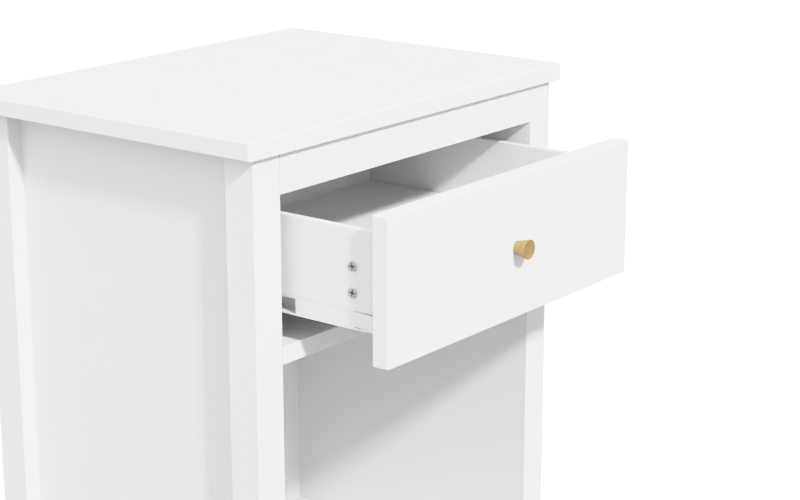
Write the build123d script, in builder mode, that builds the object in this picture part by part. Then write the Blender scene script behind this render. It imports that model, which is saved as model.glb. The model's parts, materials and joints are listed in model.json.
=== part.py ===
from build123d import *
import os

# Bedside cabinet with one steel-sided drawer over an open compartment.
# Millimetres. +Z up, the drawer opens toward -Y, X = 0 is the middle of the width.
# The drawer is modelled standing partly open; the floor is Z = 0.

# ---- overall sizes -------------------------------------------------------
height = 600
top_w = 420
top_d = 320
top_t = 15
body_w = 400
body_d = 304
body_front = -99           # front faces of the posts
body_back = body_front + body_d
top_front = body_front - 6
post = 30
board = 15
inner = body_w / 2 - post  # half width between the posts

# ---- heights -------------------------------------------------------------
under_top = height - top_t
rail_h = 33
rail_z = under_top - rail_h
divider_z = 414
lower_z = 105
glide_h = 3

# ---- drawer --------------------------------------------------------------
opening = 103.5            # how far the drawer stands open
front_w = 337
front_h = 119
front_t = 15
front_z = 431
front_y = body_front - opening
inside_y = front_y + front_t
side_len = 261
side_back = inside_y + side_len
sheet = 1.2
wall = 158.5               # outer face of the steel side
skin = wall - 5            # inner face of the steel side
side_top = 533.7
rail_bottom = 452.9        # underside of the rail under the steel side
rail_top = 467.7           # ledge that carries the drawer bottom
rail_in = 145              # inner face of that rail
slot_front = body_front - 4
bottom_t = 8.4
knob_len = 12.5
knob_z = front_z + front_h / 2

# ---- runners -------------------------------------------------------------
stud_r = 2.5
bore_r = 2.55
front_roller_r = 7
front_roller_y = body_front + 28
front_roller_z = rail_bottom - front_roller_r - 0.05
guide_roller_r = 6.1
guide_roller_y = body_front + 107.5
guide_roller_z = (rail_bottom + rail_top) / 2
runner_t = 1.2
runner_front = body_front + 17
runner_back = body_front + 270
runner_low = 434
runner_high = 468

os.makedirs("parts", exist_ok=True)


def along_x(x, y, z, side):
    """Location whose local +Z points outward along X on the given side."""
    return Location((side * x, y, z), (0, 90 * side, 0))


def cross_cut(size, depth):
    """Cross recess cut into the face at local Z = 0, going down."""
    for angle in (0, 90):
        with Locations(Location((0, 0, -depth / 2), (0, 0, angle))):
            Box(size, size * 0.22, depth, mode=Mode.SUBTRACT)


def pan_screw(head_d, head_h, shank_d, length, point):
    """Pan-head screw: head top at Z = head_h, shank runs down from Z = 0."""
    with BuildPart() as s:
        with BuildSketch(Plane.XZ):
            with BuildLine():
                Polyline(
                    (0, -length),
                    (shank_d / 2 - point / 2, -length),
                    (shank_d / 2, -length + point),
                    (shank_d / 2, 0),
                    (head_d / 2, 0),
                    (head_d / 2, head_h * 0.45),
                    (head_d / 2 - head_h * 0.55, head_h),
                    (0, head_h),
                    (0, -length),
                )
            make_face()
        revolve(axis=Axis.Z)
        with Locations((0, 0, head_h)):
            cross_cut(head_d * 0.55, head_h * 0.6)
    return s.part


def dowel(d, length):
    """Fluted-end beech dowel standing on Z, centred."""
    with BuildPart() as s:
        Cylinder(d / 2, length)
        chamfer(s.edges().filter_by(GeomType.CIRCLE), 0.8)
    return s.part


# ---- top panel -----------------------------------------------------------
top_dowel_xy = [
    (x, y)
    for x in (-(inner + 15), inner + 15)
    for y in (body_front + 15, body_back - 15)
]
rail_screw_x = 110
rail_screw_xy = [
    (x, y)
    for x in (-rail_screw_x, rail_screw_x)
    for y in (body_front + board / 2, body_back - board / 2)
]
with BuildPart() as top_panel:
    with Locations((0, top_front + top_d / 2, height - top_t / 2)):
        Box(top_w, top_d, top_t)
    fillet(top_panel.edges().filter_by(Axis.Z), 3)
    fillet(top_panel.faces().sort_by(Axis.Z)[-1].edges(), 1.5)
    fillet(top_panel.faces().sort_by(Axis.Z)[0].edges(), 1.0)
    for x, y in top_dowel_xy:
        with Locations((x, y, under_top + 5)):
            Cylinder(4, 10, mode=Mode.SUBTRACT)
    for x, y in rail_screw_xy:
        with Locations((x, y, under_top + 4.5)):
            Cylinder(2, 9, mode=Mode.SUBTRACT)
top_panel.part.label = "top_panel"
export_step(top_panel.part, "parts/top_panel.step")

# ---- posts ---------------------------------------------------------------
panel_x = inner + board / 2
panel_dowel_z = (150, 300, 540)
rail_dowel_z = (rail_z + 8, rail_z + 25)
back_front = body_back - 25
groove = 4                 # depth of the groove that holds the back panel


def make_post(side, front):
    """Square post; side is -1 left or 1 right."""
    y0 = body_front if front else body_back - post
    with BuildPart() as p:
        with Locations((side * (inner + post / 2), y0 + post / 2, (glide_h + under_top) / 2)):
            Box(post, post, under_top - glide_h)
        outside = -1 if side > 0 else 0
        fillet(p.edges().filter_by(Axis.Z).group_by(Axis.X)[outside], 1.2)
        inside = p.edges().filter_by(Axis.Z).group_by(Axis.X)[-1 - outside]
        fillet(inside.sort_by(Axis.Y)[0 if front else -1], 0.5)
        # blind holes: dowel into the top, dowels into the rail, dowels into the side panel
        with Locations((side * (inner + 15), y0 + 15, under_top - 10)):
            Cylinder(4, 20, mode=Mode.SUBTRACT)
        rail_y = body_front + board / 2 if front else body_back - board / 2
        for z in rail_dowel_z:
            with Locations(along_x(inner, rail_y, z, side)):
                Cylinder(3, 12, align=(Align.CENTER, Align.CENTER, Align.MIN), mode=Mode.SUBTRACT)
        depth = 10 if front else 8
        joint = y0 + post if front else y0
        centre = joint - depth / 2 if front else joint + depth / 2
        for z in panel_dowel_z:
            with Locations(Location((side * panel_x, centre, z), (90, 0, 0))):
                Cylinder(3, depth, mode=Mode.SUBTRACT)
        # nail hole for the glide
        with Locations((side * (inner + 15), y0 + 15, glide_h + 6)):
            Cylinder(1, 12, mode=Mode.SUBTRACT)
        if not front:
            with Locations((side * (inner + groove / 2), back_front + 2.5, (lower_z + under_top) / 2)):
                Box(groove, 5, under_top - lower_z, mode=Mode.SUBTRACT)
    return p.part


front_left_post = make_post(-1, True)
front_left_post.label = "front_left_post"
export_step(front_left_post, "parts/front_left_post.step")
front_right_post = make_post(1, True)
front_right_post.label = "front_right_post"
export_step(front_right_post, "parts/front_right_post.step")
rear_left_post = make_post(-1, False)
rear_left_post.label = "rear_left_post"
export_step(rear_left_post, "parts/rear_left_post.step")
rear_right_post = make_post(1, False)
rear_right_post.label = "rear_right_post"
export_step(rear_right_post, "parts/rear_right_post.step")

# ---- side panels ---------------------------------------------------------
panel_front = body_front + post
panel_back = body_back - post
cam_y = (body_front + 39, body_front + 249)
bolt_z = (divider_z + board / 2, lower_z + board / 2)
runner_screw_y = (body_front + 44, body_front + 150, body_front + 256)
runner_screw_z = guide_roller_z


def make_side_panel(side):
    """Panel set flush with the inner faces of the posts, so it is recessed outside."""
    with BuildPart() as p:
        with Locations((side * panel_x, (panel_front + panel_back) / 2, (lower_z + under_top) / 2)):
            Box(board, panel_back - panel_front, under_top - lower_z)
        for z in panel_dowel_z:
            with Locations(Location((side * panel_x, panel_front + 5, z), (90, 0, 0))):
                Cylinder(3, 10, mode=Mode.SUBTRACT)
            with Locations(Location((side * panel_x, panel_back - 6, z), (90, 0, 0))):
                Cylinder(3, 12, mode=Mode.SUBTRACT)
        for y in cam_y:
            for z in bolt_z:
                with Locations(along_x(inner, y, z, side)):
                    Cylinder(3, 10, align=(Align.CENTER, Align.CENTER, Align.MIN), mode=Mode.SUBTRACT)
        for y in runner_screw_y:
            with Locations(along_x(inner, y, runner_screw_z, side)):
                Cylinder(1.75, 11, align=(Align.CENTER, Align.CENTER, Align.MIN), mode=Mode.SUBTRACT)
    return p.part


left_side_panel = make_side_panel(-1)
left_side_panel.label = "left_side_panel"
export_step(left_side_panel, "parts/left_side_panel.step")
right_side_panel = make_side_panel(1)
right_side_panel.label = "right_side_panel"
export_step(right_side_panel, "parts/right_side_panel.step")

# ---- back panel, held in grooves in the rear posts -----------------------
with BuildPart() as back_panel:
    with Locations((0, back_front + 2.5, (lower_z + under_top) / 2)):
        Box(2 * (inner + groove), 5, under_top - lower_z)
back_panel.part.label = "back_panel"
export_step(back_panel.part, "parts/back_panel.step")


# ---- top rails between the posts -----------------------------------------
def hairline(z0, z1):
    """Fine open joint at both ends of a front edge, where it meets the posts."""
    for side in (-1, 1):
        with Locations((side * (inner - 0.175), body_front + 1.5, (z0 + z1) / 2)):
            Box(0.35, 3, z1 - z0, mode=Mode.SUBTRACT)


def make_rail(y0):
    """Rail under the top, counterbored from below for its two top screws."""
    with BuildPart() as p:
        with Locations((0, y0 + board / 2, rail_z + rail_h / 2)):
            Box(2 * inner, board, rail_h)
        for x in (-rail_screw_x, rail_screw_x):
            with Locations((x, y0 + board / 2, rail_z + rail_h / 2)):
                Cylinder(2, rail_h, mode=Mode.SUBTRACT)
            with Locations((x, y0 + board / 2, rail_z + 6)):
                Cylinder(4.5, 12, mode=Mode.SUBTRACT)
        for side in (-1, 1):
            for z in rail_dowel_z:
                with Locations(along_x(inner - 12, y0 + board / 2, z, side)):
                    Cylinder(3, 12, align=(Align.CENTER, Align.CENTER, Align.MIN), mode=Mode.SUBTRACT)
        if y0 == body_front:
            hairline(rail_z, rail_z + rail_h)
    return p.part


front_top_rail = make_rail(body_front)
front_top_rail.label = "front_top_rail"
export_step(front_top_rail, "parts/front_top_rail.step")
rear_top_rail = make_rail(body_back - board)
rear_top_rail.label = "rear_top_rail"
export_step(rear_top_rail, "parts/rear_top_rail.step")

# ---- shelves -------------------------------------------------------------
cam_in = 24                # cam centre from the end of the shelf
cam_h = 12.4


def make_shelf(z0):
    """Shelf between the side panels, bored for cams in its underside."""
    with BuildPart() as p:
        with Locations((0, (body_front + back_front) / 2, z0 + board / 2)):
            Box(2 * inner, back_front - body_front, board)
        fillet(p.faces().sort_by(Axis.Y)[0].edges().filter_by(Axis.X), 0.8)
        hairline(z0, z0 + board)
        for side in (-1, 1):
            for y in cam_y:
                with Locations((side * (inner - cam_in), y, z0 + 6.25)):
                    Cylinder(7.5, 12.5, mode=Mode.SUBTRACT)
                with Locations(along_x(inner - cam_in, y, z0 + board / 2, side)):
                    Cylinder(3.5, cam_in, align=(Align.CENTER, Align.CENTER, Align.MIN), mode=Mode.SUBTRACT)
    return p.part


divider_shelf = make_shelf(divider_z)
divider_shelf.label = "divider_shelf"
export_step(divider_shelf, "parts/divider_shelf.step")
lower_shelf = make_shelf(lower_z)
lower_shelf.label = "lower_shelf"
export_step(lower_shelf, "parts/lower_shelf.step")


# ---- carcass fixings -----------------------------------------------------
def make_cam():
    """Cam lock, face down at Z = 0, mouth toward +X."""
    with BuildPart() as c:
        Cylinder(7.5, cam_h, align=(Align.CENTER, Align.CENTER, Align.MIN))
        with Locations((3, 0, board / 2)):
            Box(12, 6.6, 6.6, mode=Mode.SUBTRACT)
        for angle in (0, 90):
            with Locations(Location((0, 0, 1), (0, 0, angle))):
                Box(8, 1.6, 2, mode=Mode.SUBTRACT)
    return c.part


def make_cam_bolt():
    """Bolt on X: thread from X = 0 outward, shaft and head toward -X."""
    with BuildPart() as b:
        with BuildSketch(Plane.XY):
            with BuildLine():
                Polyline(
                    (10, 0), (10, 3), (0, 3), (0, 2.5), (-cam_in + 3, 2.5), (-cam_in + 3, 1.6),
                    (-cam_in + 0.8, 1.6), (-cam_in + 0.8, 3), (-cam_in - 1.8, 3), (-cam_in - 1.8, 0), (10, 0),
                )
            make_face()
        revolve(axis=Axis.X)
    return b.part


cam_solid = make_cam()
bolt_solid = make_cam_bolt()
cam_spots = [
    (side, y, z)
    for side in (-1, 1)
    for y in cam_y
    for z in (divider_z, lower_z)
]
with BuildPart() as shelf_cam_locks:
    for side, y, z in cam_spots:
        with Locations(Location((side * (inner - cam_in), y, z), (0, 0, 0 if side > 0 else 180))):
            add(cam_solid)
shelf_cam_locks.part.label = "shelf_cam_locks"
export_step(shelf_cam_locks.part, "parts/shelf_cam_locks.step")

with BuildPart() as shelf_cam_bolts:
    for side, y, z in cam_spots:
        with Locations(Location((side * inner, y, z + board / 2), (0, 0, 0 if side > 0 else 180))):
            add(bolt_solid)
shelf_cam_bolts.part.label = "shelf_cam_bolts"
export_step(shelf_cam_bolts.part, "parts/shelf_cam_bolts.step")

long_dowel = dowel(8, 30)
rail_dowel = dowel(6, 24)
panel_dowel_f = dowel(6, 20)
with BuildPart() as top_dowels:
    with Locations([(x, y, under_top - 5) for x, y in top_dowel_xy]):
        add(long_dowel)
top_dowels.part.label = "top_dowels"
export_step(top_dowels.part, "parts/top_dowels.step")

with BuildPart() as rail_dowels:
    for side in (-1, 1):
        for y in (body_front + board / 2, body_back - board / 2):
            for z in rail_dowel_z:
                with Locations(along_x(inner, y, z, side)):
                    add(rail_dowel)
rail_dowels.part.label = "rail_dowels"
export_step(rail_dowels.part, "parts/rail_dowels.step")

with BuildPart() as side_panel_dowels:
    for side in (-1, 1):
        for z in panel_dowel_z:
            for y in (panel_front, panel_back - 2):
                with Locations(Location((side * panel_x, y, z), (90, 0, 0))):
                    add(panel_dowel_f)
side_panel_dowels.part.label = "side_panel_dowels"
export_step(side_panel_dowels.part, "parts/side_panel_dowels.step")

top_screw = pan_screw(8.4, 2.8, 4, 30, 2)
with BuildPart() as top_screws:
    for x, y in rail_screw_xy:
        with Locations(Location((x, y, rail_z + 12), (180, 0, 0))):
            add(top_screw)
top_screws.part.label = "top_screws"
export_step(top_screws.part, "parts/top_screws.step")


# ---- glides under the posts ----------------------------------------------
def make_glide(side, y):
    """Round nail-on glide."""
    with BuildPart() as g:
        with Locations((side * (inner + 15), y, glide_h / 2)):
            Cylinder(11, glide_h)
        fillet(g.edges().filter_by(GeomType.CIRCLE).sort_by(Axis.Z)[0], 1.2)
        with Locations((side * (inner + 15), y, glide_h + 5.5)):
            Cylinder(1, 11)
    return g.part


front_left_glide = make_glide(-1, body_front + 15)
front_left_glide.label = "front_left_glide"
export_step(front_left_glide, "parts/front_left_glide.step")
front_right_glide = make_glide(1, body_front + 15)
front_right_glide.label = "front_right_glide"
export_step(front_right_glide, "parts/front_right_glide.step")
rear_left_glide = make_glide(-1, body_back - 15)
rear_left_glide.label = "rear_left_glide"
export_step(rear_left_glide, "parts/rear_left_glide.step")
rear_right_glide = make_glide(1, body_back - 15)
rear_right_glide.label = "rear_right_glide"
export_step(rear_right_glide, "parts/rear_right_glide.step")


# ---- cabinet runners: pressed channels screwed to the side panels --------
def make_cabinet_runner(side):
    """Shallow channel with holes for two roller studs and three screws."""
    length = runner_back - runner_front
    mid = (runner_back + runner_front) / 2
    with BuildPart() as r:
        with Locations((side * (inner - runner_t / 2), mid, (runner_low + runner_high) / 2)):
            Box(runner_t, length, runner_high - runner_low)
        for z in (runner_low + runner_t / 2, runner_high - runner_t / 2):
            with Locations((side * (inner - 3), mid, z)):
                Box(6, length, runner_t)
        spots = [(front_roller_y, front_roller_z, stud_r), (guide_roller_y, guide_roller_z, stud_r)]
        spots += [(y, runner_screw_z, 1.75) for y in runner_screw_y]
        for y, z, radius in spots:
            with Locations(along_x(inner - 4, y, z, side)):
                Cylinder(radius, 4, align=(Align.CENTER, Align.CENTER, Align.MIN), mode=Mode.SUBTRACT)
    return r.part


left_cabinet_runner = make_cabinet_runner(-1)
left_cabinet_runner.label = "left_cabinet_runner"
export_step(left_cabinet_runner, "parts/left_cabinet_runner.step")
right_cabinet_runner = make_cabinet_runner(1)
right_cabinet_runner.label = "right_cabinet_runner"
export_step(right_cabinet_runner, "parts/right_cabinet_runner.step")

runner_screw = pan_screw(7, 2, 3.5, 12.2, 2)
with BuildPart() as cabinet_runner_screws:
    for side in (-1, 1):
        for y in runner_screw_y:
            with Locations(Location((side * (inner - runner_t), y, runner_screw_z), (0, -90 * side, 0))):
                add(runner_screw)
cabinet_runner_screws.part.label = "cabinet_runner_screws"
export_step(cabinet_runner_screws.part, "parts/cabinet_runner_screws.step")


# ---- rollers and their studs ---------------------------------------------
# Each roller spans roller_in to roller_out from the middle plane.
front_span = (147, 158)
guide_span = (147.4, 156.9)


def make_roller(side, span, radius, y, z):
    """Nylon roller with a plain bore and eased rims."""
    width = span[1] - span[0]
    with BuildPart() as r:
        with Locations(along_x(span[0], y, z, side)):
            Cylinder(radius, width, align=(Align.CENTER, Align.CENTER, Align.MIN))
        chamfer(r.edges().filter_by(GeomType.CIRCLE), 0.5)
        with Locations(along_x(span[0] - 1, y, z, side)):
            Cylinder(bore_r, width + 2, align=(Align.CENTER, Align.CENTER, Align.MIN), mode=Mode.SUBTRACT)
    return r.part


def make_stud(side, span, y, z):
    """Shouldered stud riveted in the runner, with a head that keeps the roller on."""
    with BuildPart() as s:
        with Locations(along_x(span[0] - 0.2, y, z, side)):
            Cylinder(stud_r, inner - span[0] + 0.2, align=(Align.CENTER, Align.CENTER, Align.MIN))
        with Locations(along_x(span[1] + 0.2, y, z, side)):
            Cylinder(4, inner - runner_t - span[1] - 0.2, align=(Align.CENTER, Align.CENTER, Align.MIN))
        with Locations(along_x(span[0] - 1, y, z, side)):
            Cylinder(3.6, 0.8, align=(Align.CENTER, Align.CENTER, Align.MIN))
    return s.part


left_front_roller = make_roller(-1, front_span, front_roller_r, front_roller_y, front_roller_z)
left_front_roller.label = "left_front_roller"
export_step(left_front_roller, "parts/left_front_roller.step")
right_front_roller = make_roller(1, front_span, front_roller_r, front_roller_y, front_roller_z)
right_front_roller.label = "right_front_roller"
export_step(right_front_roller, "parts/right_front_roller.step")
left_guide_roller = make_roller(-1, guide_span, guide_roller_r, guide_roller_y, guide_roller_z)
left_guide_roller.label = "left_guide_roller"
export_step(left_guide_roller, "parts/left_guide_roller.step")
right_guide_roller = make_roller(1, guide_span, guide_roller_r, guide_roller_y, guide_roller_z)
right_guide_roller.label = "right_guide_roller"
export_step(right_guide_roller, "parts/right_guide_roller.step")

with BuildPart() as front_roller_studs:
    for side in (-1, 1):
        add(make_stud(side, front_span, front_roller_y, front_roller_z))
front_roller_studs.part.label = "front_roller_studs"
export_step(front_roller_studs.part, "parts/front_roller_studs.step")

with BuildPart() as guide_roller_studs:
    for side in (-1, 1):
        add(make_stud(side, guide_span, guide_roller_y, guide_roller_z))
guide_roller_studs.part.label = "guide_roller_studs"
export_step(guide_roller_studs.part, "parts/guide_roller_studs.step")

# ---- drawer front --------------------------------------------------------
bracket_screw_x = 141
bracket_screw_z = (488, 510)
with BuildPart() as drawer_front:
    with Locations((0, front_y + front_t / 2, front_z + front_h / 2)):
        Box(front_w, front_t, front_h)
    fillet(drawer_front.edges(), 1.0)
    for x in (-bracket_screw_x, bracket_screw_x):
        for z in bracket_screw_z:
            with Locations(Location((x, inside_y, z), (90, 0, 0))):
                Cylinder(1.75, 11, align=(Align.CENTER, Align.CENTER, Align.MIN), mode=Mode.SUBTRACT)
    with Locations(Location((0, front_y + front_t / 2, knob_z), (90, 0, 0))):
        Cylinder(2, front_t, mode=Mode.SUBTRACT)
drawer_front.part.label = "drawer_front"
export_step(drawer_front.part, "parts/drawer_front.step")

# ---- steel drawer sides --------------------------------------------------
adjust_y = inside_y + 26.8
adjust_z = (503.3, 482.2)
rivet_y = side_back - 8
rivet_z = (490, 514)
tab_y = inside_y + 24.6    # where the cut tab of the rail starts to flare
tab_h = rail_top - rail_bottom - 2.6
flare = 4.2                # how far the tab stands out at the front
back_y = side_back - 2
bottom_top = rail_top + bottom_t


def make_drawer_side(side):
    """Double steel wall closed along the top, with a hollow rail underneath."""
    def strip(x0, x1, z0, z1, y0=inside_y, y1=side_back, mode=Mode.ADD):
        with Locations((side * (x0 + x1) / 2, (y0 + y1) / 2, (z0 + z1) / 2)):
            Box(x1 - x0, y1 - y0, z1 - z0, mode=mode)

    with BuildPart() as p:
        strip(wall - sheet, wall, rail_bottom, side_top)
        strip(skin, wall, side_top - sheet, side_top)
        rounded = p.edges().filter_by(Axis.Y).group_by(Axis.Z)[-1]
        fillet(rounded, 1.0)
        # inner skin, cut back at both ends for the front bracket and the drawer back
        strip(skin, skin + sheet, bottom_top + 0.2, side_top - 1.1, y0=inside_y + 2.2, y1=back_y - 0.2)
        strip(rail_in, wall, rail_top - sheet, rail_top)
        strip(rail_in, wall, rail_bottom, rail_bottom + sheet)
        strip(rail_in, rail_in + sheet, rail_bottom, rail_top)
        strip(rail_in, wall, rail_bottom, rail_top, y0=side_back - sheet)
        # crease where the wall meets the rail
        strip(wall - 0.3, wall + 1, rail_top - 0.2, rail_top + 0.2, mode=Mode.SUBTRACT)
        # long slot in the rail, where the guide roller's stud runs
        strip(
            wall - sheet, wall + 1, rail_bottom + sheet, rail_top - 1.1,
            y0=slot_front, y1=side_back - sheet, mode=Mode.SUBTRACT,
        )
        # the front of the rail's outer face is cut free and bent outward
        strip(
            wall - sheet, wall + 1, rail_bottom + 1.8, rail_top + 0.4,
            y0=inside_y - 1, y1=tab_y, mode=Mode.SUBTRACT,
        )
        with BuildSketch(Plane.XY.offset(rail_bottom + 2.6)):
            with BuildLine():
                Polyline(
                    (side * (wall - sheet), tab_y),
                    (side * wall, tab_y),
                    (side * (wall + flare), inside_y + 1),
                    (side * (wall - sheet + flare), inside_y + 1),
                    (side * (wall - sheet), tab_y),
                )
            make_face()
        extrude(amount=tab_h)
        with Locations((side * (wall - sheet / 2), tab_y + 0.3, rail_bottom + 2.6 + tab_h / 2)):
            Box(sheet, 0.8, tab_h)
        for z in adjust_z:
            with Locations(along_x(wall - 2, adjust_y, z, side)):
                Cylinder(2.4, 3, align=(Align.CENTER, Align.CENTER, Align.MIN), mode=Mode.SUBTRACT)
        for z in rivet_z:
            with Locations(along_x(wall - 2, rivet_y, z, side)):
                Cylinder(2, 3, align=(Align.CENTER, Align.CENTER, Align.MIN), mode=Mode.SUBTRACT)
    return p.part


drawer_left_side = make_drawer_side(-1)
drawer_left_side.label = "drawer_left_side"
export_step(drawer_left_side, "parts/drawer_left_side.step")
drawer_right_side = make_drawer_side(1)
drawer_right_side.label = "drawer_right_side"
export_step(drawer_right_side, "parts/drawer_right_side.step")

# ---- drawer bottom and back ----------------------------------------------
with BuildPart() as drawer_bottom:
    with Locations((0, (inside_y + back_y) / 2, rail_top + bottom_t / 2)):
        Box(2 * (wall - sheet) - 0.2, back_y - inside_y, bottom_t)
drawer_bottom.part.label = "drawer_bottom"
export_step(drawer_bottom.part, "parts/drawer_bottom.step")

back_top = side_top - 6
back_half = wall - sheet
with BuildPart() as drawer_back:
    with Locations((0, back_y + sheet / 2, (rail_top + back_top) / 2)):
        Box(2 * back_half, sheet, back_top - rail_top)
    with Locations((0, back_y - 2.5, back_top - sheet / 2)):
        Box(2 * skin - 0.4, 7.4, sheet)
    for side in (-1, 1):
        with Locations((side * (back_half - sheet / 2), back_y - 6, (bottom_top + back_top) / 2)):
            Box(sheet, 12.4, back_top - bottom_top)
        for z in rivet_z:
            with Locations(along_x(back_half - 2, rivet_y, z, side)):
                Cylinder(2, 3, align=(Align.CENTER, Align.CENTER, Align.MIN), mode=Mode.SUBTRACT)
drawer_back.part.label = "drawer_back"
export_step(drawer_back.part, "parts/drawer_back.step")

with BuildPart() as drawer_back_rivets:
    for side in (-1, 1):
        for z in rivet_z:
            with Locations(along_x(back_half - sheet - 0.8, rivet_y, z, side)):
                Cylinder(2, 2 * sheet + 0.8, align=(Align.CENTER, Align.CENTER, Align.MIN))
            with Locations(along_x(wall, rivet_y, z, side)):
                Cylinder(3.5, 1, align=(Align.CENTER, Align.CENTER, Align.MIN))
            with Locations(along_x(back_half - sheet - 0.8, rivet_y, z, side)):
                Cylinder(2.8, 0.8, align=(Align.CENTER, Align.CENTER, Align.MIN))
drawer_back_rivets.part.label = "drawer_back_rivets"
export_step(drawer_back_rivets.part, "parts/drawer_back_rivets.step")

# ---- brackets that hold the drawer front ---------------------------------
bracket_t = 2
bracket_z0 = bottom_top + 0.2
bracket_z1 = 520


def make_bracket(side):
    """Angle bracket: one leaf on the steel wall, one on the back of the front."""
    x1 = wall - sheet
    with BuildPart() as b:
        with Locations((side * (x1 - bracket_t / 2), inside_y + 24, (bracket_z0 + bracket_z1) / 2)):
            Box(bracket_t, 48, bracket_z1 - bracket_z0)
        with Locations((side * (x1 - 11), inside_y + bracket_t / 2, (bracket_z0 + bracket_z1) / 2)):
            Box(22, bracket_t, bracket_z1 - bracket_z0)
        for z in adjust_z:
            with Locations(along_x(x1 - 3, adjust_y, z, side)):
                Cylinder(2.4, 6, align=(Align.CENTER, Align.CENTER, Align.MIN), mode=Mode.SUBTRACT)
        for z in bracket_screw_z:
            with Locations(Location((side * bracket_screw_x, inside_y + 1, z), (90, 0, 0))):
                Cylinder(1.75, 6, mode=Mode.SUBTRACT)
    return b.part


left_front_bracket = make_bracket(-1)
left_front_bracket.label = "left_front_bracket"
export_step(left_front_bracket, "parts/left_front_bracket.step")
right_front_bracket = make_bracket(1)
right_front_bracket.label = "right_front_bracket"
export_step(right_front_bracket, "parts/right_front_bracket.step")

adjust_screw = pan_screw(8.6, 1.3, 4.8, 3, 0.6)
with BuildPart() as front_adjusting_screws:
    for side in (-1, 1):
        for z in adjust_z:
            with Locations(along_x(wall, adjust_y, z, side)):
                add(adjust_screw)
front_adjusting_screws.part.label = "front_adjusting_screws"
export_step(front_adjusting_screws.part, "parts/front_adjusting_screws.step")

bracket_screw = pan_screw(7, 2, 3.5, 13, 2)
with BuildPart() as front_bracket_screws:
    for x in (-bracket_screw_x, bracket_screw_x):
        for z in bracket_screw_z:
            with Locations(Location((x, inside_y + bracket_t, z), (-90, 0, 0))):
                add(bracket_screw)
front_bracket_screws.part.label = "front_bracket_screws"
export_step(front_bracket_screws.part, "parts/front_bracket_screws.step")

# ---- knob ----------------------------------------------------------------
knob_base_r = 5.5
knob_face_r = 8.5
with BuildPart() as knob:
    with BuildSketch(Plane.YZ):
        with BuildLine():
            Polyline(
                (front_y, knob_z),
                (front_y, knob_z + knob_base_r),
                (front_y - knob_len, knob_z + knob_face_r),
                (front_y - knob_len, knob_z),
                (front_y, knob_z),
            )
        make_face()
    revolve(axis=Axis((0, 0, knob_z), (0, 1, 0)))
    fillet(knob.edges().filter_by(GeomType.CIRCLE).sort_by(Axis.Y)[0], 0.4)
    with Locations(Location((0, front_y - 4.5, knob_z), (90, 0, 0))):
        Cylinder(2, 9, mode=Mode.SUBTRACT)
knob.part.label = "knob"
export_step(knob.part, "parts/knob.step")

knob_bolt = pan_screw(8, 2.6, 4, front_t + 8, 0.8)
with BuildPart() as knob_screw:
    with Locations(Location((0, inside_y, knob_z), (-90, 0, 0))):
        add(knob_bolt)
knob_screw.part.label = "knob_screw"
export_step(knob_screw.part, "parts/knob_screw.step")
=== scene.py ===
import json
import math

import bmesh
import bpy
from mathutils import Matrix, Vector


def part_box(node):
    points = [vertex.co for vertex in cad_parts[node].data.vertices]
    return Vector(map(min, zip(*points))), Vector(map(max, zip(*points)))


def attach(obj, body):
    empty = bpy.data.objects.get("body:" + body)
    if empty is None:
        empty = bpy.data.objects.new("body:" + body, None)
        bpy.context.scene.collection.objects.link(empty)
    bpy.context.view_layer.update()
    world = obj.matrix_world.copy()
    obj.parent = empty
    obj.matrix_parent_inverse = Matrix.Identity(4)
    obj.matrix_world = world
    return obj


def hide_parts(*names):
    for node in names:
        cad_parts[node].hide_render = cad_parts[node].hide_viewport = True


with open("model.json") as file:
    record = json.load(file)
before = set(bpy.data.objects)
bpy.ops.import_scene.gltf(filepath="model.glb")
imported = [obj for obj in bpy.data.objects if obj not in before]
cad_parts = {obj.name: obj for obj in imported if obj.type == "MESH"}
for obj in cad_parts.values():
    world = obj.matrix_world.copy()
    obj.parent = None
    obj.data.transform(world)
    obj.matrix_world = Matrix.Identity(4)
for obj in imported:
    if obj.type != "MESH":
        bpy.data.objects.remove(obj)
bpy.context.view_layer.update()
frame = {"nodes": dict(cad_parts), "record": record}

nodes = frame["nodes"]
MM = 0.001


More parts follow.
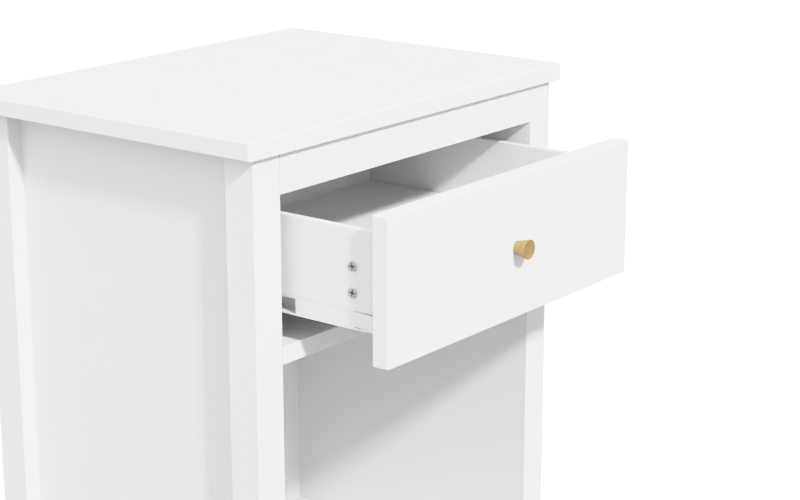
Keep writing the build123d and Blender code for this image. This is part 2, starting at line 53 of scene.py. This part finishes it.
# ---- material helpers ------------------------------------------------------
class Tree:
    """Small helper around one material's node tree."""

    def __init__(self, name):
        self.mat = bpy.data.materials.new(name)
        self.mat.use_nodes = True
        self.nodes = self.mat.node_tree.nodes
        self.links = self.mat.node_tree.links
        self.shader = self.nodes["Principled BSDF"]
        self.coords = self.nodes.new("ShaderNodeTexCoord")

    def link(self, out, inp):
        self.links.new(out, inp)

    def stretch(self, scale):
        """Object coordinates scaled per axis."""
        m = self.nodes.new("ShaderNodeMapping")
        m.inputs["Scale"].default_value = scale
        self.link(self.coords.outputs["Object"], m.inputs["Vector"])
        return m.outputs["Vector"]

    def noise(self, scale, detail=3.0, rough=0.55, vector=None, distortion=0.0):
        """Noise pattern from 0 to 1, in object coordinates unless given others."""
        n = self.nodes.new("ShaderNodeTexNoise")
        n.inputs["Scale"].default_value = scale
        n.inputs["Detail"].default_value = detail
        n.inputs["Roughness"].default_value = rough
        n.inputs["Distortion"].default_value = distortion
        self.link(vector or self.coords.outputs["Object"], n.inputs["Vector"])
        return n.outputs["Fac"]

    def ramp(self, fac, low, high, at=(0.3, 0.7)):
        """Colour ramp between two RGB colours."""
        r = self.nodes.new("ShaderNodeValToRGB")
        r.color_ramp.elements[0].position = at[0]
        r.color_ramp.elements[1].position = at[1]
        r.color_ramp.elements[0].color = (*low, 1)
        r.color_ramp.elements[1].color = (*high, 1)
        self.link(fac, r.inputs["Fac"])
        return r.outputs["Color"]

    def spread(self, fac, low, high, start=0.3, end=0.7):
        """Maps a 0-1 pattern to a range of values."""
        m = self.nodes.new("ShaderNodeMapRange")
        m.inputs["From Min"].default_value = start
        m.inputs["From Max"].default_value = end
        m.inputs["To Min"].default_value = low
        m.inputs["To Max"].default_value = high
        self.link(fac, m.inputs["Value"])
        return m.outputs["Result"]

    def multiply(self, colour, factor):
        """Colour times another colour."""
        m = self.nodes.new("ShaderNodeMix")
        m.data_type = "RGBA"
        m.blend_type = "MULTIPLY"
        m.inputs["Factor"].default_value = 1.0
        self.link(colour, m.inputs["A"])
        self.link(factor, m.inputs["B"])
        return m.outputs["Result"]

    def bump(self, height, strength, distance, normal=None):
        """Surface normal bent by a pattern, on top of another normal if given."""
        b = self.nodes.new("ShaderNodeBump")
        b.inputs["Strength"].default_value = strength
        b.inputs["Distance"].default_value = distance
        self.link(height, b.inputs["Height"])
        if normal is not None:
            self.link(normal, b.inputs["Normal"])
        return b.outputs["Normal"]

    def set(self, **values):
        """Constants on the shader's own sockets; underscores stand for spaces."""
        for key, value in values.items():
            self.shader.inputs[key.replace("_", " ")].default_value = value

    def drive(self, colour=None, roughness=None, normal=None):
        """Links patterns to the shader and returns the finished material."""
        if colour is not None:
            self.link(colour, self.shader.inputs["Base Color"])
        if roughness is not None:
            self.link(roughness, self.shader.inputs["Roughness"])
        if normal is not None:
            self.link(normal, self.shader.inputs["Normal"])
        return self.mat


def grey(value, warm=0.0):
    """Near-neutral linear colour, slightly warm or cool."""
    return (value * (1 + warm), value, value * (1 - warm))


# ---- materials -------------------------------------------------------------
def painted_board(name, tone):
    """Satin white paint on board: faint orange peel, roller waves, patchy sheen."""
    t = Tree(name)
    t.set(IOR=1.47, Coat_Weight=0.08, Coat_Roughness=0.25)
    patches = t.noise(7.0, detail=2.0)
    colour = t.ramp(patches, grey(tone * 0.992, 0.002), grey(tone, 0.0))
    specks = t.ramp(t.noise(420.0, detail=2.0), grey(0.985), grey(1.0), (0.30, 0.42))
    colour = t.multiply(colour, specks)
    sheen = t.spread(t.noise(30.0, detail=4.0), 0.36, 0.46)
    waves = t.bump(t.noise(55.0, detail=2.0), 0.10, 0.0004)
    peel = t.bump(t.noise(900.0, detail=3.0), 0.10, 0.00008, waves)
    return t.drive(colour, sheen, peel)


def coated_steel(name, tone):
    """White powder coat: fine pebble texture over flat sheet."""
    t = Tree(name)
    t.set(IOR=1.5, Specular_IOR_Level=0.55)
    colour = t.ramp(t.noise(11.0, detail=2.0), grey(tone * 0.99), grey(tone))
    fine = t.noise(1500.0, detail=3.0, rough=0.6)
    colour = t.multiply(colour, t.ramp(fine, grey(0.975), grey(1.0), (0.35, 0.6)))
    sheen = t.spread(t.noise(60.0, detail=4.0), 0.33, 0.45)
    return t.drive(colour, sheen, t.bump(fine, 0.22, 0.00007))


def plated_steel(name, tone, metal=1.0, rough=(0.22, 0.42)):
    """Zinc plating with faint spangle and handling marks."""
    t = Tree(name)
    t.set(Metallic=metal)
    spangle = t.noise(700.0, detail=3.0, rough=0.6, distortion=0.6)
    colour = t.ramp(spangle, grey(tone * 0.86, -0.01), grey(tone, 0.0))
    sheen = t.spread(t.noise(1300.0, detail=4.0), *rough)
    scratches = t.noise(900.0, detail=2.0, rough=0.5, vector=t.stretch((1.0, 7.0, 1.0)))
    return t.drive(colour, sheen, t.bump(scratches, 0.12, 0.00005))


def satin_brass(name, centre):
    """Satin gold finish with fine turning marks round the knob's axis."""
    t = Tree(name)
    t.set(Metallic=0.6)
    place = t.nodes.new("ShaderNodeMapping")
    place.inputs["Location"].default_value = (-centre.x, 0.0, -centre.z)
    t.link(t.coords.outputs["Object"], place.inputs["Vector"])
    flat = t.nodes.new("ShaderNodeVectorMath")
    flat.operation = "MULTIPLY"
    flat.inputs[1].default_value = (1.0, 0.0, 1.0)
    t.link(place.outputs["Vector"], flat.inputs[0])
    radius = t.nodes.new("ShaderNodeVectorMath")
    radius.operation = "LENGTH"
    t.link(flat.outputs["Vector"], radius.inputs[0])
    where = t.nodes.new("ShaderNodeSeparateXYZ")
    t.link(place.outputs["Vector"], where.inputs["Vector"])
    along = t.nodes.new("ShaderNodeCombineXYZ")
    t.link(radius.outputs["Value"], along.inputs["X"])
    t.link(where.outputs["Y"], along.inputs["Y"])
    rings = t.noise(4200.0, detail=3.0, rough=0.6, vector=along.outputs["Vector"])
    cloud = t.noise(160.0, detail=3.0)
    colour = t.ramp(cloud, (0.36, 0.242, 0.098), (0.43, 0.295, 0.125))
    colour = t.multiply(colour, t.ramp(rings, grey(0.90), grey(1.0), (0.35, 0.65)))
    sheen = t.spread(rings, 0.40, 0.54)
    return t.drive(colour, sheen, t.bump(rings, 0.14, 0.00004))


def moulded_nylon(name, tone):
    """Milky nylon with slight translucency."""
    t = Tree(name)
    t.set(Subsurface_Weight=0.25, Subsurface_Scale=0.002, IOR=1.53)
    colour = t.ramp(t.noise(90.0, detail=3.0), grey(tone * 0.95, 0.01), grey(tone, 0.012))
    sheen = t.spread(t.noise(400.0, detail=3.0), 0.35, 0.5)
    return t.drive(colour, sheen, t.bump(t.noise(1200.0, detail=2.0), 0.12, 0.00005))


def beech_wood(name):
    """Raw beech with short flecks along the grain."""
    t = Tree(name)
    grain = t.noise(260.0, detail=5.0, rough=0.6, vector=t.stretch((1.0, 1.0, 0.18)), distortion=0.4)
    colour = t.ramp(grain, (0.50, 0.33, 0.19), (0.66, 0.48, 0.31))
    flecks = t.noise(900.0, detail=2.0, rough=0.5, vector=t.stretch((1.0, 1.0, 0.1)))
    colour = t.multiply(colour, t.ramp(flecks, grey(0.82), grey(1.0), (0.38, 0.5)))
    return t.drive(colour, t.spread(grain, 0.55, 0.7), t.bump(grain, 0.3, 0.0001))


def glide_plastic(name, tone):
    """Light polyethylene foot glide with fine moulding texture and scuffs."""
    t = Tree(name)
    t.set(IOR=1.5)
    colour = t.ramp(t.noise(140.0, detail=4.0), grey(tone * 0.9, 0.01), grey(tone, 0.01))
    scuffs = t.noise(500.0, detail=4.0, rough=0.6, vector=t.stretch((1.0, 6.0, 1.0)))
    return t.drive(colour, t.spread(scuffs, 0.42, 0.6), t.bump(scuffs, 0.2, 0.00008))


BOARD_TONE = 0.72
knob_lo, knob_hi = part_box("knob")
knob_centre = (knob_lo + knob_hi) / 2
finishes = {
    "painted_board": painted_board("satin_white_paint", BOARD_TONE),
    "coated_steel": coated_steel("white_powder_coat", 0.71),
    "zinc_steel": plated_steel("bright_zinc", 0.80),
    "screw_head": plated_steel("satin_zinc", 0.44, 0.55, (0.38, 0.55)),
    # painted shade: near-black zinc for the faces inside the cross recess, standing in for the
    # shadow there
    "recess_painted_shade": plated_steel("painted_shade_zinc", 0.10, 0.3, (0.6, 0.8)),
    "brass": satin_brass("satin_brass", knob_centre),
    "nylon": moulded_nylon("milky_nylon", 0.74),
    "beech": beech_wood("raw_beech"),
    "glide_plastic": glide_plastic("pale_plastic", 0.55),
}
slot_of = {
    row["node"]: row["material_slot"] for row in frame["record"]["subparts"]
}
for name, obj in nodes.items():
    obj.data.materials.clear()
    obj.data.materials.append(finishes[slot_of[name]])


# ---- detailed pieces -------------------------------------------------------
CREASE_DEG = 32
WELD = 0.03 * MM


def turned(bm, profile, place, segments):
    """Surface of revolution about local Z from (radius, height) pairs; radius 0 closes an end."""
    rings = []
    for radius, height in profile:
        if radius == 0:
            rings.append([bm.verts.new(place @ Vector((0, 0, height)))])
            continue
        ring = []
        for k in range(segments):
            turn = 2 * math.pi * k / segments
            point = Vector((radius * math.cos(turn), radius * math.sin(turn), height))
            ring.append(bm.verts.new(place @ point))
        rings.append(ring)
    for low, high in zip(rings, rings[1:]):
        for k in range(segments):
            n = (k + 1) % segments
            if len(low) == 1:
                bm.faces.new((low[0], high[n], high[k]))
            elif len(high) == 1:
                bm.faces.new((low[k], low[n], high[0]))
            else:
                bm.faces.new((low[k], low[n], high[n], high[k]))


def cross_cutter(bm, place, top, depth, reach, width):
    """Tapered plus-shaped plug whose top is at local Z = top."""
    loops = []
    above = 0.3 * MM
    for height, shrink, arm in ((top + above, 1.05, reach), (top - depth, 0.62, reach * 0.36)):
        w = width / 2 * shrink
        outline = []
        for quarter in range(4):
            spin = Matrix.Rotation(quarter * math.pi / 2, 4, "Z")
            for x, y in ((w, -w), (arm, -w), (arm, w)):
                outline.append(bm.verts.new(place @ spin @ Vector((x, y, height))))
        loops.append(outline)
    upper, lower = loops
    for k in range(12):
        n = (k + 1) % 12
        bm.faces.new((upper[k], lower[k], lower[n], upper[n]))
    for loop in loops:
        bm.faces.new([loop[k] for k in (0, 3, 6, 9)])
        for k in (0, 3, 6, 9):
            bm.faces.new([loop[k], loop[k + 1], loop[k + 2], loop[(k + 3) % 12]])


def shade(mesh):
    """Smooth faces, with every edge over the crease angle kept crisp."""
    mesh.shade_smooth()
    mesh.set_sharp_from_angle(angle=math.radians(CREASE_DEG))


def solid(name, build):
    """Object from a bmesh builder, with outward normals and crisp edges kept crisp."""
    mesh = bpy.data.meshes.new(name)
    bm = bmesh.new()
    build(bm)
    bmesh.ops.recalc_face_normals(bm, faces=bm.faces)
    bm.to_mesh(mesh)
    bm.free()
    shade(mesh)
    obj = bpy.data.objects.new(name, mesh)
    bpy.context.scene.collection.objects.link(obj)
    return obj


def carve(obj, cutter):
    """Subtracts the cutter, keeps the result as the object's own mesh, and drops the cutter.

    Cut faces keep the cutter's material. Points closer together than WELD become one.
    """
    cut = obj.modifiers.new("recess", "BOOLEAN")
    cut.operation = "DIFFERENCE"
    cut.solver = "EXACT"
    cut.material_mode = "TRANSFER"
    cut.object = cutter
    ready = obj.evaluated_get(bpy.context.evaluated_depsgraph_get())
    mesh = bpy.data.meshes.new_from_object(ready)
    obj.modifiers.clear()
    obj.data = mesh
    bm = bmesh.new()
    bm.from_mesh(mesh)
    bmesh.ops.remove_doubles(bm, verts=bm.verts, dist=WELD)
    bmesh.ops.triangulate(bm, faces=[face for face in bm.faces if len(face.verts) > 4])
    bm.to_mesh(mesh)
    bm.free()
    shade(mesh)
    bpy.data.objects.remove(cutter)


def make_knob():
    """Turned conical knob: narrow base, crisp rim, face very slightly dished inside a fine land."""
    radius = (knob_hi.z - knob_lo.z) / 2
    length = knob_hi.y - knob_lo.y
    base = radius * 0.66
    edge = 0.45 * MM   # how far the rim is rounded
    land = 1.1 * MM    # flat ring round the dished face
    dish = 0.22 * MM   # depth at the middle
    profile = [
        (0, 0),
        (base - 0.2 * MM, 0),
        (base, 0.2 * MM),
        (base * 1.01, 0.9 * MM),
        (radius - 0.25 * MM, length - edge - 0.6 * MM),
        (radius, length - edge),
        (radius - 0.1 * MM, length - 0.15 * MM),
        (radius - edge, length),
        (radius - land, length),
        (radius - land - 0.25 * MM, length - 0.14 * MM),
        (radius * 0.45, length - 0.2 * MM),
        (0, length - dish),
    ]
    place = Matrix.Translation((knob_centre.x, knob_hi.y, knob_centre.z))
    place = place @ Matrix.Rotation(math.pi / 2, 4, "X")
    knob = solid("turned_knob", lambda bm: turned(bm, profile, place, 96))
    knob.data.materials.append(finishes["brass"])
    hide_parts("knob")
    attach(knob, "drawer")


def make_adjusting_screws():
    """Flat pan-head screws with a cross recess, two on each steel side."""
    lo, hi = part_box("front_adjusting_screws")
    radius = (hi.y - lo.y) / 2
    shank = 2.4 * MM    # radius of the part inside the steel side
    length = 3.0 * MM   # how much of that part is modelled
    rise = 1.3 * MM     # height of the plain head that this one replaces
    crown = 0.9 * MM    # height of this head
    recess = 1.5 * MM
    reach = 3.1 * MM
    blade = 1.2 * MM
    profile = [
        (0, -length),
        (shank - 0.3 * MM, -length),
        (shank, -length + 0.3 * MM),
        (shank, 0),
        (radius - 0.3 * MM, 0),
        (radius - 0.25 * MM, 0.12 * MM),
        (radius, 0.25 * MM),
        (radius, crown - 0.5 * MM),
        (radius - 0.14 * MM, crown - 0.25 * MM),
        (radius - 0.45 * MM, crown - 0.1 * MM),
        (radius - 1.1 * MM, crown - 0.03 * MM),
        (0, crown),
    ]
    face = hi.x - rise
    upper = hi.z - radius
    lower = lo.z + radius
    screws = (
        ("left_upper", -1, upper, 4),
        ("left_lower", -1, lower, -7),
        ("right_upper", 1, upper, 21),
        ("right_lower", 1, lower, 38),
    )
    for where, side, z, twist in screws:
        place = Matrix.Translation((side * face, (lo.y + hi.y) / 2, z))
        place = place @ Matrix.Rotation(side * math.pi / 2, 4, "Y")
        place = place @ Matrix.Rotation(math.radians(twist), 4, "Z")
        screw = solid(f"adjusting_screw_{where}", lambda bm: turned(bm, profile, place, 64))
        screw.data.materials.append(finishes["screw_head"])
        plug = solid("plug", lambda bm: cross_cutter(bm, place, crown, recess, reach, blade))
        # the cut faces of the cross recess take the near-black zinc, which paints the shade inside
        # the recess
        plug.data.materials.append(finishes["recess_painted_shade"])
        carve(screw, plug)
        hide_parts("front_adjusting_screws")
        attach(screw, "drawer")


make_knob()
make_adjusting_screws()

# ---- stage -----------------------------------------------------------------
FLOOR_HALF = 30.0
FLOOR_GLOW = 1.4
FLOOR_BOUNCE = 0.28


def make_floor():
    """Plain pale floor, far larger than the view.

    Light that bounces off it onto the object is held back, as from a grey sweep.
    """
    mesh = bpy.data.meshes.new("floor")
    bm = bmesh.new()
    bmesh.ops.create_grid(bm, x_segments=1, y_segments=1, size=FLOOR_HALF)
    bm.to_mesh(mesh)
    bm.free()
    floor = bpy.data.objects.new("floor", mesh)
    bpy.context.scene.collection.objects.link(floor)
    t = Tree("pale_floor")
    t.set(Roughness=0.9, Specular_IOR_Level=0.0)
    t.set(Emission_Color=(1, 1, 1, 1), Emission_Strength=FLOOR_GLOW)
    t.drive(t.ramp(t.noise(1.5, detail=2.0), grey(0.955), grey(0.965)))
    bounce = t.nodes.new("ShaderNodeBsdfDiffuse")
    bounce.inputs["Color"].default_value = (*grey(FLOOR_BOUNCE), 1)
    path = t.nodes.new("ShaderNodeLightPath")
    mix = t.nodes.new("ShaderNodeMixShader")
    t.link(path.outputs["Is Camera Ray"], mix.inputs["Fac"])
    t.link(bounce.outputs["BSDF"], mix.inputs[1])
    t.link(t.shader.outputs["BSDF"], mix.inputs[2])
    t.link(mix.outputs["Shader"], t.nodes["Material Output"].inputs["Surface"])
    floor.data.materials.append(t.mat)


make_floor()

# ---- light -----------------------------------------------------------------
scene = bpy.context.scene
world = bpy.data.worlds.new("studio")
scene.world = world
world.use_nodes = True
AMBIENT = 0.83  # from all round
SIDE = 1.22     # added straight to the left, fading to none in the middle
ZENITH = 0.81   # added straight above, fading with the square of the height


def make_sky():
    """Even studio light, plus a softbox glow from the left and from above."""
    sky = world.node_tree
    background = sky.nodes["Background"]
    background.inputs["Color"].default_value = (1, 1, 1, 1)
    coords = sky.nodes.new("ShaderNodeTexCoord")
    axes = sky.nodes.new("ShaderNodeSeparateXYZ")
    sky.links.new(coords.outputs["Generated"], axes.inputs["Vector"])
    left = sky.nodes.new("ShaderNodeMapRange")
    left.inputs["From Min"].default_value = 0.0
    left.inputs["From Max"].default_value = -1.0
    left.inputs["To Min"].default_value = AMBIENT
    left.inputs["To Max"].default_value = AMBIENT + SIDE
    sky.links.new(axes.outputs["X"], left.inputs["Value"])
    rise = sky.nodes.new("ShaderNodeMath")
    rise.operation = "POWER"
    rise.use_clamp = True
    rise.inputs[1].default_value = 2.0
    sky.links.new(axes.outputs["Z"], rise.inputs[0])
    above = sky.nodes.new("ShaderNodeMath")
    above.operation = "MULTIPLY_ADD"
    above.inputs[1].default_value = ZENITH
    sky.links.new(rise.outputs["Value"], above.inputs[0])
    sky.links.new(left.outputs["Result"], above.inputs[2])
    sky.links.new(above.outputs["Value"], background.inputs["Strength"])


make_sky()

KEY = 5.96
KEY_WIDTH_DEG = 5
KEY_TRAVEL = Vector((0.33, 1.0, -0.82)).normalized()
key_data = bpy.data.lights.new("key", "SUN")
key_data.energy = KEY
key_data.angle = math.radians(KEY_WIDTH_DEG)
key = bpy.data.objects.new("key", key_data)
scene.collection.objects.link(key)
key.rotation_euler = KEY_TRAVEL.to_track_quat("-Z", "Y").to_euler()

# ---- camera ----------------------------------------------------------------
CAMERA_AT = (-1.290111, -1.083734, 0.925452)
CAMERA_DOWN_DEG = 15.665
CAMERA_TURN_DEG = -52.206
LENS_MM = 90.24
SENSOR_MM = 36
cam_data = bpy.data.cameras.new("camera")
cam = bpy.data.objects.new("camera", cam_data)
scene.collection.objects.link(cam)
scene.camera = cam
cam_data.sensor_width = SENSOR_MM
cam_data.lens = LENS_MM
cam_data.clip_start = 0.05
cam_data.clip_end = 100
cam.location = CAMERA_AT
cam.rotation_euler = (math.radians(90 - CAMERA_DOWN_DEG), 0, math.radians(CAMERA_TURN_DEG))

# ---- render look -----------------------------------------------------------
# Exposure curve as (scene light, display light) pairs: near straight through the shades, then a
# long shoulder that holds the paint just under white, and white only for the floor and backdrop.
WHITE_IN = 4.0
FILM = (
    (0.0, 0.0), (0.3, 0.295), (0.5, 0.47), (0.7, 0.61), (0.9, 0.712), (1.1, 0.782),
    (1.3, 0.829), (1.6, 0.874), (1.9, 0.903), (2.4, 0.915), (2.75, 1.0), (4.0, 1.0),
)
scene.view_settings.view_transform = "Standard"
scene.view_settings.look = "None"
scene.view_settings.use_curve_mapping = True
film = scene.view_settings.curve_mapping
film.white_level = (WHITE_IN, WHITE_IN, WHITE_IN)
film.extend = "HORIZONTAL"
shoulder = film.curves[3]
for x, y in FILM[1:-1]:
    shoulder.points.new(x / WHITE_IN, y)
shoulder.points[-1].location = (FILM[-1][0] / WHITE_IN, FILM[-1][1])
for point in shoulder.points:
    point.handle_type = "VECTOR"
film.update()
